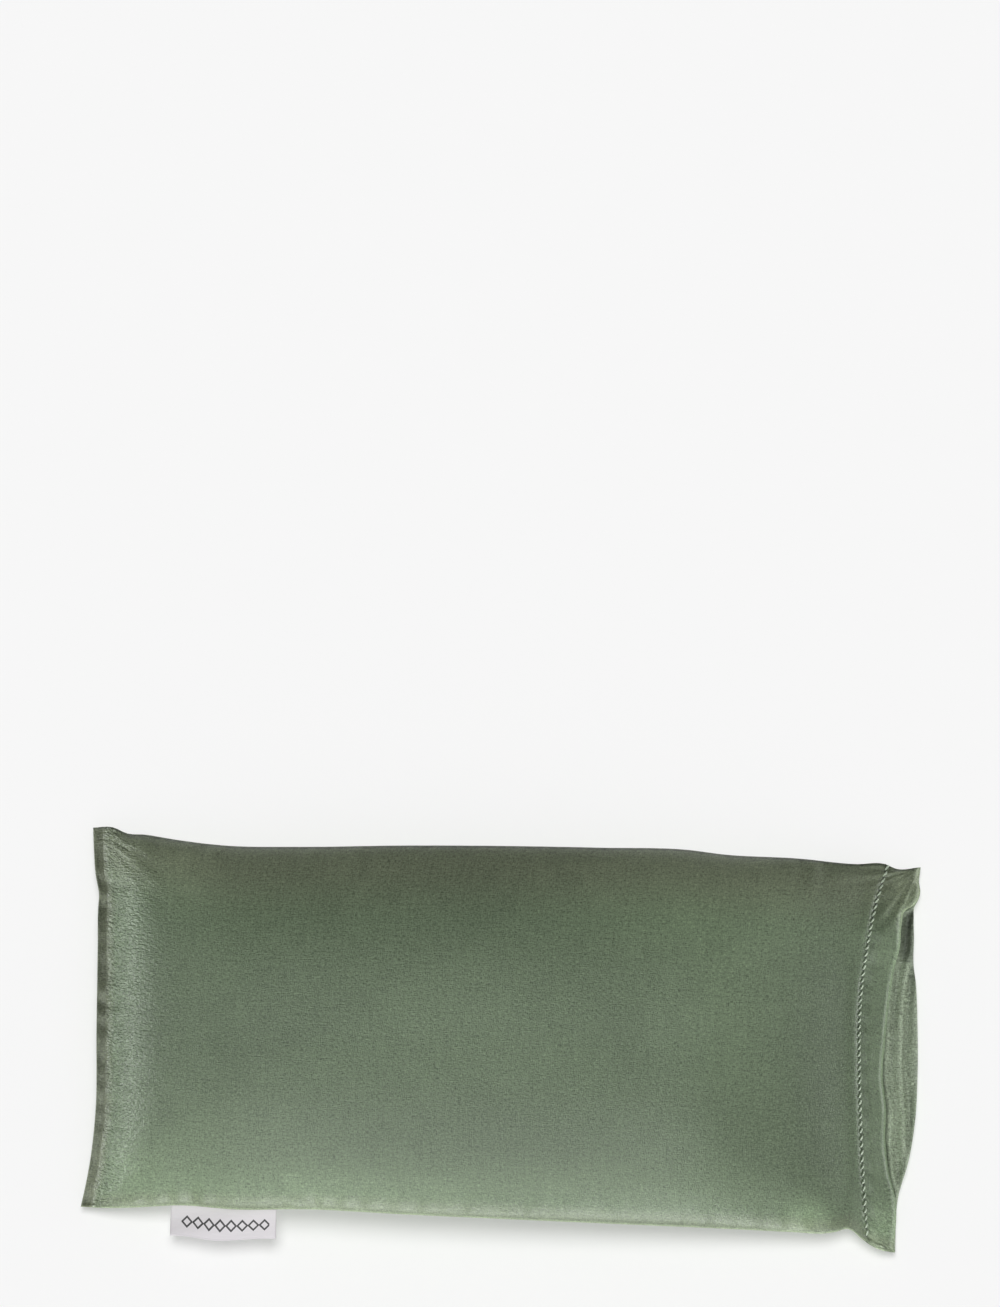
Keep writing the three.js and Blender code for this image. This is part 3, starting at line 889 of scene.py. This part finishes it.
def make_cover_panel(name, grid, side):
    """One satin panel as a closed sheet with its hem, from the grid of its outer face."""
    along, across = np.meshgrid(along_shares(), across_shares(), indexing="ij")
    normal = grid_normals(grid) * side
    relief = hem_relief(along, across) + seam_puckers(grid, seed=20 + side)
    if side > 0:
        relief += lip_roll(grid, UPPER_LIP) + label_creases(grid)
        for corner_x, corner_y, seed, depth in CORNER_FOLDS:
            relief += corner_folds(grid, corner_x, corner_y, seed, depth)
    else:
        relief -= mouth_folds(grid)
    fade = step(0, 1.5, seam_distance(grid)) * step(0, 1.5, grid[..., 0] - closed_x(grid[..., 1]))
    outer = grid + normal * (relief * fade)[..., None]
    x, y = grid[..., 0], grid[..., 1]
    allowance = SEAM_LAYER * step(9, 1.5, np.minimum(seam_distance(grid), x - closed_x(y)))
    outer[..., 2] += side * allowance
    room = np.maximum(top_z(x, y) - bottom_z(x, y), 0) / 2 + allowance - SHEET_GAP
    thickness = CLOTH_THICKNESS + (HEM_THICKNESS - CLOTH_THICKNESS) * (along >= 1)
    thickness = np.minimum(thickness, room)
    fold = np.clip((along - LIP_FROM) / (2 - LIP_FROM), 0, 0.97)
    lip_round = np.sqrt(1 - fold**2)
    inner = outer - normal * (thickness * (0.5 + 0.5 * lip_round))[..., None]
    outer = outer - normal * (thickness * (0.5 - 0.5 * lip_round))[..., None]
    outer = turned_edge(outer)
    inner = turned_edge(inner)
    panel = sheet_object(name, outer, inner, side < 0, cloth_uv(grid), inner_material=1)
    # Painted light and shade for the colour of the satin's outer face and of its inner face.
    tone = satin_painted_light(grid)
    store(panel, "tone", (tone, reverse_painted_light(grid)))
    store_stitching(panel, along, across)
    # The olive of painted shade along the outer face's seams; none inside.
    store(panel, "olive", (edge_shade_olive(grid), 0 * tone))
    store(panel, "gathered", (gathered_cloth(grid), 0 * tone + 0.25))
    return panel, outer, inner


def make_stitches(name, surface, normal, row):
    """A row of stitches on a line of a grid, each dipping into the cloth at both ends."""
    line, up = surface[row], normal[row]
    shares = across_shares()
    paths = []
    for i in range(1, STITCH_COUNT):
        place = (i + np.linspace(0.12, 0.88, 7)) / STITCH_COUNT
        arch = np.sin(np.linspace(0, math.pi, 7))
        path = np.stack([np.interp(place, shares, line[:, k]) for k in range(3)], axis=1)
        rise = np.stack([np.interp(place, shares, up[:, k]) for k in range(3)], axis=1)
        path += rise * (STITCH_LIFT + STITCH_ARCH * arch)[:, None]
        path[:, 0] += np.linspace(-STITCH_SLANT, STITCH_SLANT, 7)
        paths.append(path)
    return cords_object(name, paths, STITCH_RADIUS)


def seam_line(inset):
    """The cover's seam from the mouth along the front, round the closed end and back, inset."""
    xs = np.linspace(HALF_LENGTH * 0.93, -HALF_LENGTH - 1, 300)
    front = np.stack([xs, front_y(xs) + inset], axis=1)
    ys = np.linspace(front_y(-HALF_LENGTH) + inset + 1, rear_y(-HALF_LENGTH) - inset - 1, 140)
    end = np.stack([closed_x(ys) + inset, ys], axis=1)
    rear = np.stack([xs, rear_y(xs) - inset], axis=1)[::-1]
    front = front[front[:, 0] > end[0, 0] + 1]
    rear = rear[rear[:, 0] > end[-1, 0] + 1]
    line = np.concatenate([front, end, rear])
    height = (top_z(line[:, 0], line[:, 1]) + bottom_z(line[:, 0], line[:, 1])) / 2
    return np.concatenate([line, height[:, None]], axis=1)


def running_stitches(name, line, pitch, radius, lift):
    """Stitches along a line of points, each an arch between two needle holes."""
    gaps = np.linalg.norm(np.diff(line, axis=0), axis=1)
    far = np.concatenate([[0], np.cumsum(gaps)])
    count = int(far[-1] / pitch)
    paths = []
    for i in range(count):
        place = (i + np.linspace(0.08, 0.92, 5)) * far[-1] / count
        path = np.stack([np.interp(place, far, line[:, k]) for k in range(3)], axis=1)
        path[:, 2] += lift * np.sin(np.linspace(0, math.pi, 5))
        paths.append(path)
    return cords_object(name, paths, radius, sides=5)


# ---- Label -----------------------------------------------------------------------------------

LABEL_THICKNESS = 0.22
LABEL_DROOP = [(0, 0), (0.25, 5), (0.5, 10), (0.75, 17), (1, 22)]  # degrees, along the label
# How far the tape reaches out to its fold.
LABEL_REACH = [(0, 8.2), (0.2, 8.55), (0.42, 9.05), (0.62, 8.55), (0.85, 8.1), (1, 8.2)]
LOZENGE_PITCH = 3.1
LOZENGE_LINE = 0.34  # half the width of its outline
LOZENGE_SIZE = 1.35  # from its middle to its outline
LOZENGES_Y = 4.6  # from the seam to the row's middle
LOZENGES_X = 15.4  # from the label's end to the row's middle
LOZENGES_HALF = 12.3  # half the row's length
RIB_PITCH = 0.32
TAPE_LENGTH = 20.4  # from the seam round the fold and back
LABEL_ROWS = 61  # of points along the label
LABEL_STRAIGHT = 16  # points from the seam to the fold
LABEL_BEND = 9  # points round the fold


def label_grids():
    """The two faces of the folded tape: out from the seam, round the fold and back beneath."""
    shares = np.linspace(0, 1, LABEL_ROWS)
    length = LABEL_HIGH[0] - LABEL_LOW[0]
    xs = LABEL_LOW[0] + 0.6 + (length - 0.8) * shares
    grids = ([], [])
    for share, x in zip(shares, xs):
        droop = math.radians(through(LABEL_DROOP, share))
        reach = through(LABEL_REACH, share)
        r = np.linspace(0, 1, LABEL_STRAIGHT)
        turn = -droop * (0.35 + 0.95 * r) - 0.1 * np.sin(5 * r + 7 * share)
        ds = reach / (LABEL_STRAIGHT - 1)
        y = np.concatenate([[0], -np.cumsum(np.cos(turn[1:]) * ds)])
        z = np.concatenate([[0], np.cumsum(np.sin(turn[1:]) * ds)])
        out = np.stack([-np.cos(turn), np.sin(turn)], axis=1)
        up = np.stack([np.sin(turn), np.cos(turn)], axis=1)
        gap = 0.16 + (0.3 + 0.35 * share**2) * r**1.5
        centre = np.stack([y, z], axis=1)
        upper = centre + up * gap[:, None]
        lower = centre - up * gap[:, None]
        swing = np.linspace(0, math.pi, LABEL_BEND)[1:-1]
        fold = centre[-1] + gap[-1] * (
            np.cos(swing)[:, None] * up[-1] + 0.9 * np.sin(swing)[:, None] * out[-1]
        )
        path = np.concatenate([upper, fold, lower[::-1]])
        along = np.gradient(path, axis=0)
        along /= np.linalg.norm(along, axis=1, keepdims=True)
        face = np.stack([along[:, 1], -along[:, 0]], axis=1)
        for grid, offset in zip(grids, (LABEL_THICKNESS / 2, -LABEL_THICKNESS / 2)):
            moved = path + face * offset
            seam_y = front_y(x) + 0.5
            seam_z = through(SIDE_SEAM_Z, x / HALF_LENGTH) - 0.2
            grid.append(np.stack([
                np.full(len(moved), x), moved[:, 0] + seam_y, moved[:, 1] + seam_z], axis=1))
    return np.array(grids[0]), np.array(grids[1])


def label_material():
    """White satin ribbon: fine ribs along the tape and a row of small lozenges."""
    material, tree, shader = new_material("label_tape")
    separate = node(tree, "ShaderNodeSeparateXYZ")
    link(tree, cloth_coordinates(tree, (1, 1, 1)), separate.inputs["Vector"])
    x, y = separate.outputs["X"], separate.outputs["Y"]
    place = math_node(tree, "FRACT", math_node(tree, "DIVIDE", x, LOZENGE_PITCH))
    across = math_node(tree, "ABSOLUTE", math_node(tree, "SUBTRACT", place, 0.5))
    down = math_node(tree, "ABSOLUTE", math_node(tree, "SUBTRACT", y, LOZENGES_Y))
    spread = math_node(tree, "MULTIPLY_ADD", across, LOZENGE_PITCH, down)
    ring = math_node(tree, "ABSOLUTE", math_node(tree, "SUBTRACT", spread, LOZENGE_SIZE))
    lozenge = math_node(tree, "LESS_THAN", ring, LOZENGE_LINE)
    middle = math_node(tree, "ABSOLUTE", math_node(tree, "SUBTRACT", x, LOZENGES_X))
    inside = math_node(tree, "LESS_THAN", middle, LOZENGES_HALF)
    motif = math_node(tree, "MULTIPLY", lozenge, inside)
    ribs = math_node(tree, "SINE", math_node(tree, "MULTIPLY", y, 2 * math.pi / RIB_PITCH))
    yarns = yarn_noise(tree, 3.0, 0.2)
    height = math_node(tree, "MULTIPLY_ADD", ribs, 0.2, yarns)
    shade = math_node(tree, "MULTIPLY_ADD", math_node(tree, "SUBTRACT", height, 0.5), 0.25, 0.6)
    base = mixed_colour(tree, shade, scaled(LABEL_WHITE, 0.8), scaled(LABEL_WHITE, 1.1))
    mix = node(tree, "ShaderNodeMix", data_type="RGBA")
    link(tree, math_node(tree, "MULTIPLY", motif, 0.96), mix.inputs["Factor"])
    link(tree, base, mix.inputs[6])
    mix.inputs[7].default_value = (*LOZENGE_BLACK, 1)
    link(tree, mix.outputs[2], shader.inputs["Base Color"])
    shader.inputs["Roughness"].default_value = 0.5
    shader.inputs["Sheen Weight"].default_value = 0.2
    bump_node = node(tree, "ShaderNodeBump", Strength=1.0, Distance=0.06 * METRE)
    link(tree, height, bump_node.inputs["Height"])
    link(tree, bump_node.outputs["Normal"], shader.inputs["Normal"])
    return material


def make_label():
    outer, inner = label_grids()
    x = outer[..., 0] - outer[0, 0, 0]
    down = np.linspace(0, TAPE_LENGTH, outer.shape[1])[None, :] + 0 * x
    uv = np.stack([x, down], axis=-1)
    piece = sheet_object("woven_label", outer, inner, True, uv)
    piece.data.materials.append(label_material())
    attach(piece, "label")
    flatten(piece)
    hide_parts("woven_label")
    return piece


# ---- Inner pillow ----------------------------------------------------------------------------

INNER_INSET = 4.6  # from the cover's side seams
INNER_SEAM_Z = 7.2
INNER_END = INNER_HIGH[0] - 5.5
INNER_ROWS = 150
INNER_COLUMNS = 90
COTTON_THICKNESS = 0.4
INNER_STITCH_PITCH = 2.2
INNER_THREAD_RADIUS = 0.13
SEED_INSET = 0.8  # of the seed from the cotton, above and below


def inner_side(x):
    """Half-width of the inner pillow, a little drawn in between its corners."""
    start, end = x - INNER_LOW[0], INNER_END - x
    return HALF_WIDTH - INNER_INSET - 1.2 + 1.2 * (np.exp(-start / 9) + np.exp(-end / 9))


def inner_end(y, low):
    """Place of an end seam, drawn in at its middle."""
    pull = 3.0 * (1 - (y / HALF_WIDTH) ** 2)
    return INNER_LOW[0] + pull if low else INNER_END - pull


def inner_grids():
    """The inner pillow's two faces."""
    along, across = np.meshgrid(
        np.linspace(0, 1, INNER_ROWS), np.linspace(0, 1, INNER_COLUMNS), indexing="ij")
    along = along - 0.7 * np.sin(2 * math.pi * along) / (2 * math.pi)
    across = across - 0.7 * np.sin(2 * math.pi * across) / (2 * math.pi)
    y = (across * 2 - 1) * (HALF_WIDTH - INNER_INSET)
    for _ in range(3):
        x = inner_end(y, True) + (inner_end(y, False) - inner_end(y, True)) * along
        y = (across * 2 - 1) * inner_side(x)
    side = np.minimum(y + inner_side(x), inner_side(x) - y)
    start, end = x - inner_end(y, True), inner_end(y, False) - x
    pucker = noise_along(x / 7, 41) * bump(side, 2, 4) + noise_along(y / 7, 43) * (
        bump(start, 2, 5) + bump(end, 2, 5))
    seeds = 0.12 * waves(x / 4.5, y / 4.5, 45, 9) * step(2, 9, np.minimum(side, np.minimum(start, end)))
    rise = round_rise(side, 38) * round_rise(start, 30) * round_rise(end, 30)
    top = INNER_SEAM_Z + (CREST_Z - 1.9 - INNER_SEAM_Z) * rise + 0.25 * pucker + seeds
    top = np.minimum(top, np.maximum(top_z(x, y) - 1.5, INNER_SEAM_Z - 3 + rise))
    drop = round_rise(side, 16) * round_rise(start, 16) * round_rise(end, 16)
    base = INNER_SEAM_Z + (1.4 - INNER_SEAM_Z) * drop - 0.2 * pucker - 0.5 * seeds
    seam = np.minimum(top, INNER_SEAM_Z)
    top = np.maximum(top, base + 0.02)
    border = np.minimum(side, np.minimum(start, end)) < 1e-6
    level = np.where(border, np.minimum(seam, top_z(x, y) - 1.2), 0)
    top = np.where(border, level, top)
    base = np.where(border, level, np.minimum(base, top - 0.02))
    return np.stack([x, y, top], axis=-1), np.stack([x, y, base], axis=-1)


def inner_sheet(name, grid, side):
    """One cotton panel as a closed sheet."""
    normal = grid_normals(grid) * side
    outer = grid.copy()
    inner = grid - normal * COTTON_THICKNESS
    for line, axis, sign in ((np.s_[:, 0], 1, 1), (np.s_[:, -1], 1, -1),
                             (np.s_[0, :], 0, 1), (np.s_[-1, :], 0, -1)):
        for sheet in (outer, inner):
            sheet[line][..., 2] = grid[line][..., 2] + side * 0.12
        inner[line][..., axis] = outer[line][..., axis] + sign * COTTON_THICKNESS
    return sheet_object(name, outer, inner, side < 0, cloth_uv(grid))


def linseed_material():
    """Glossy brown seeds, each a cell of its own shade."""
    material, tree, shader = new_material("linseed")
    where = node(tree, "ShaderNodeTexCoord")
    cells = node(tree, "ShaderNodeTexVoronoi", Scale=420.0, feature="F1")
    link(tree, where.outputs["Object"], cells.inputs["Vector"])
    seed_shade = node(tree, "ShaderNodeSeparateColor")
    link(tree, cells.outputs["Color"], seed_shade.inputs["Color"])
    link(tree, mixed_colour(tree, seed_shade.outputs["Red"], SEED_DARK, SEED_LIGHT),
         shader.inputs["Base Color"])
    shader.inputs["Roughness"].default_value = 0.35
    bump_node = node(tree, "ShaderNodeBump", Strength=1.0, Distance=0.9 * METRE, invert=True)
    link(tree, cells.outputs["Distance"], bump_node.inputs["Height"])
    link(tree, bump_node.outputs["Normal"], shader.inputs["Normal"])
    return material


def make_inner_pillow():
    """The cotton panels, their seams and the seed."""
    cotton = plain_weave_material("cotton", COTTON, 0.9, 0.45, 0.08)
    thread = thread_material("cotton_thread", COTTON_THREAD, 0.8)
    top, base = inner_grids()
    pieces = {
        "inner_top_panel": inner_sheet("inner_top_panel", top, 1),
        "inner_bottom_panel": inner_sheet("inner_bottom_panel", base, -1),
    }
    for piece in pieces.values():
        piece.data.materials.append(cotton)
    border = np.concatenate([top[::-1, 0], top[0, 1:], top[1:, -1]])
    middle = top.mean(axis=(0, 1))
    seam = border + (middle - border) * np.array([0.012, 0.03, 0])
    seam[:, 2] = border[:, 2]
    # The last seam runs across both panels, four lines of points in from the end.
    closing_top = top[-5, 4:-4] + np.array([0, 0, 0.12])
    closing_base = base[-5, 4:-4] - np.array([0, 0, 0.12])
    for name, line, lift in (
        ("inner_seam_needle_thread", seam + np.array([0, 0, 0.1]), 0.1),
        ("inner_seam_bobbin_thread", seam - np.array([0, 0, 0.1]), -0.1),
        ("closing_seam_needle_thread", closing_top, 0.15),
        ("closing_seam_bobbin_thread", closing_base, -0.15),
    ):
        pieces[name] = running_stitches(
            name, line, INNER_STITCH_PITCH, INNER_THREAD_RADIUS, lift)
        pieces[name].data.materials.append(thread)
    inset = np.array([0.985, 0.965, 1])
    centre = top.mean(axis=(0, 1)) * np.array([1, 1, 0])
    high = (top - centre) * inset + centre - np.array([0, 0, SEED_INSET])
    low = (base - centre) * inset + centre + np.array([0, 0, SEED_INSET])
    high[..., 2] = np.maximum(high[..., 2], low[..., 2] + 0.1)
    seeds = sheet_object("linseed_fill", high[::2, ::2], low[::2, ::2])
    seeds.data.materials.append(linseed_material())
    pieces["linseed_fill"] = seeds
    for name, piece in pieces.items():
        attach(piece, "inner_pillow")
        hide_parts(name)
    return pieces


# ---- Cover assembly --------------------------------------------------------------------------


def flatten(piece):
    """Gives a piece its own copy of its mesh."""
    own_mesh(piece)


def make_cover(grids):
    """The two satin panels with their hems, stitches and seams."""
    satin = satin_material("satin", SAGE, 0.36, 0.1)
    reverse = satin_material("satin_reverse", SAGE_REVERSE, 0.42, 0.12)
    thread = thread_material("satin_thread", SAGE_THREAD, 0.5)
    pieces = {}
    row = stitch_row()
    for place, grid, side in (("top", grids[0], 1), ("bottom", grids[1], -1)):
        name = f"cover_{place}_panel"
        panel, outer, inner = make_cover_panel(name, grid, side)
        panel.data.materials.append(satin)
        panel.data.materials.append(reverse)
        pieces[name] = panel
        normal = grid_normals(grid) * side
        pieces[f"{place}_hem_needle_thread"] = make_stitches(
            f"{place}_hem_needle_thread", outer, normal, row)
        pieces[f"{place}_hem_bobbin_thread"] = make_stitches(
            f"{place}_hem_bobbin_thread", inner, -normal, row)
    line = seam_line(SEAM_INSET)
    for name, lift in (
        ("cover_seam_needle_thread", SEAM_THREAD_LIFT),
        ("cover_seam_bobbin_thread", -SEAM_THREAD_LIFT),
    ):
        pieces[name] = running_stitches(
            name, line + np.array([0, 0, lift]), SEAM_PITCH, SEAM_THREAD_RADIUS, lift / 2)
    for name, piece in pieces.items():
        if name.endswith("thread"):
            piece.data.materials.append(thread)
        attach(piece, "cover")
        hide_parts(name)
        flatten(piece)
    return pieces


# ---- Floor, light and camera -----------------------------------------------------------------

FLOOR_SIZE = 9.0  # metres
VIEW_SCALE = 365.1  # millimetres that the frame's long side covers, at the seams' height
VIEW_LENS = 200
VIEW_SENSOR = 36
VIEW_CENTRE = (-4.7, 106.2)
VIEW_TURN = 1.8  # degrees, clockwise, that the pillow lies at in the frame


def make_floor():
    size = FLOOR_SIZE / METRE / 2
    corners = [(-size, -size, 0), (size, -size, 0), (size, size, 0), (-size, size, 0)]
    floor = mesh_object("floor", corners, [(0, 1, 2, 3)], smooth=False)
    material, tree, shader = new_material("floor")
    grain = node(tree, "ShaderNodeTexNoise", Scale=60.0, Detail=2.0)
    where = node(tree, "ShaderNodeTexCoord")
    link(tree, where.outputs["Object"], grain.inputs["Vector"])
    link(tree, mixed_colour(tree, grain.outputs["Fac"], FLOOR_DARK, FLOOR_LIGHT),
         shader.inputs["Base Color"])
    shader.inputs["Roughness"].default_value = 0.9
    shader.inputs["Specular IOR Level"].default_value = 0.1
    floor.data.materials.append(material)
    return floor


def sun(name, azimuth, elevation, strength, angle, receivers=None):
    """A soft distant light. Azimuth 0 shines from -Y and 90 from +X, as views are counted."""
    lamp = bpy.data.lights.new(name, "SUN")
    lamp.energy = strength
    lamp.angle = math.radians(angle)
    piece = bpy.data.objects.new(name, lamp)
    bpy.context.scene.collection.objects.link(piece)
    piece.rotation_euler = (math.radians(90 - elevation), 0, math.radians(azimuth))
    if receivers is not None:
        piece.light_linking.receiver_collection = receivers
    return piece


def group(name, members):
    """A collection that lights can be limited to."""
    made = bpy.data.collections.new(name)
    for member in members:
        made.objects.link(member)
    return made


def make_lights(cover_pieces, pale_pieces, floor):
    """Side lights that only the cover gets, as the satin's sheen, and softer ones for the rest."""
    on_cover = group("lit_cover", cover_pieces)
    on_pillow = group("lit_pillow", [*cover_pieces, *pale_pieces])
    on_pale = group("lit_pale", pale_pieces)
    on_floor = group("lit_floor", [floor])
    sun("floor_key", 187, 71, 1.42, 29, on_floor)
    sun("floor_dome", 185, 89, 0.36, 170, on_floor)
    sun("floor_fill", 185, 89, 1.17, 5, on_floor).data.use_shadow = False
    sun("pillow_key", -10, 62, 1.48, 50, on_pillow)
    sun("cover_front", 5, 9, 1.8, 14, on_cover)
    sun("cover_left", -86, 12, 2.0, 14, on_cover)
    sun("cover_right", 98, 8, 1.4, 12, on_cover)
    sun("pale_fill", 5, 70, 0.95, 120, on_pale)
    world = bpy.data.worlds.new("room")
    bpy.context.scene.world = world
    world.use_nodes = True
    tree = world.node_tree
    back = tree.nodes["Background"]
    seen = tree.nodes.new("ShaderNodeBackground")
    seen.inputs["Color"].default_value = (*BACKDROP, 1)
    back.inputs["Color"].default_value = (1, 1, 1, 1)
    back.inputs["Strength"].default_value = 0.12
    path = tree.nodes.new("ShaderNodeLightPath")
    mix = tree.nodes.new("ShaderNodeMixShader")
    link(tree, path.outputs["Is Camera Ray"], mix.inputs[0])
    link(tree, back.outputs[0], mix.inputs[1])
    link(tree, seen.outputs[0], mix.inputs[2])
    link(tree, mix.outputs[0], tree.nodes["World Output"].inputs["Surface"])


def make_camera():
    """Above the pillow and tipped towards the frame's middle, which is behind the rear seam."""
    camera = bpy.data.cameras.new("camera")
    camera.lens = VIEW_LENS
    camera.sensor_width = VIEW_SENSOR
    distance = VIEW_SCALE * VIEW_LENS / VIEW_SENSOR
    place = np.array([0, 0, distance + SEAM_Z])
    target = np.array([*VIEW_CENTRE, SEAM_Z])
    forward = (target - place) / np.linalg.norm(target - place)
    turn = math.radians(VIEW_TURN)
    right = np.cross(forward, [-math.sin(turn), math.cos(turn), 0])
    right /= np.linalg.norm(right)
    up = np.cross(right, forward)
    piece = bpy.data.objects.new("camera", camera)
    bpy.context.scene.collection.objects.link(piece)
    turned = np.stack([right, up, -forward, place * METRE], axis=1)
    piece.matrix_world = Matrix([*turned.tolist(), [0, 0, 0, 1]])
    camera.clip_end = 100
    bpy.context.scene.camera = piece


# ---- Scene -----------------------------------------------------------------------------------

cover = make_cover(cover_grids())
label = make_label()
inner = make_inner_pillow()
floor = make_floor()
make_lights(cover.values(), [label, *inner.values()], floor)
make_camera()
bpy.context.scene.view_settings.view_transform = "Standard"
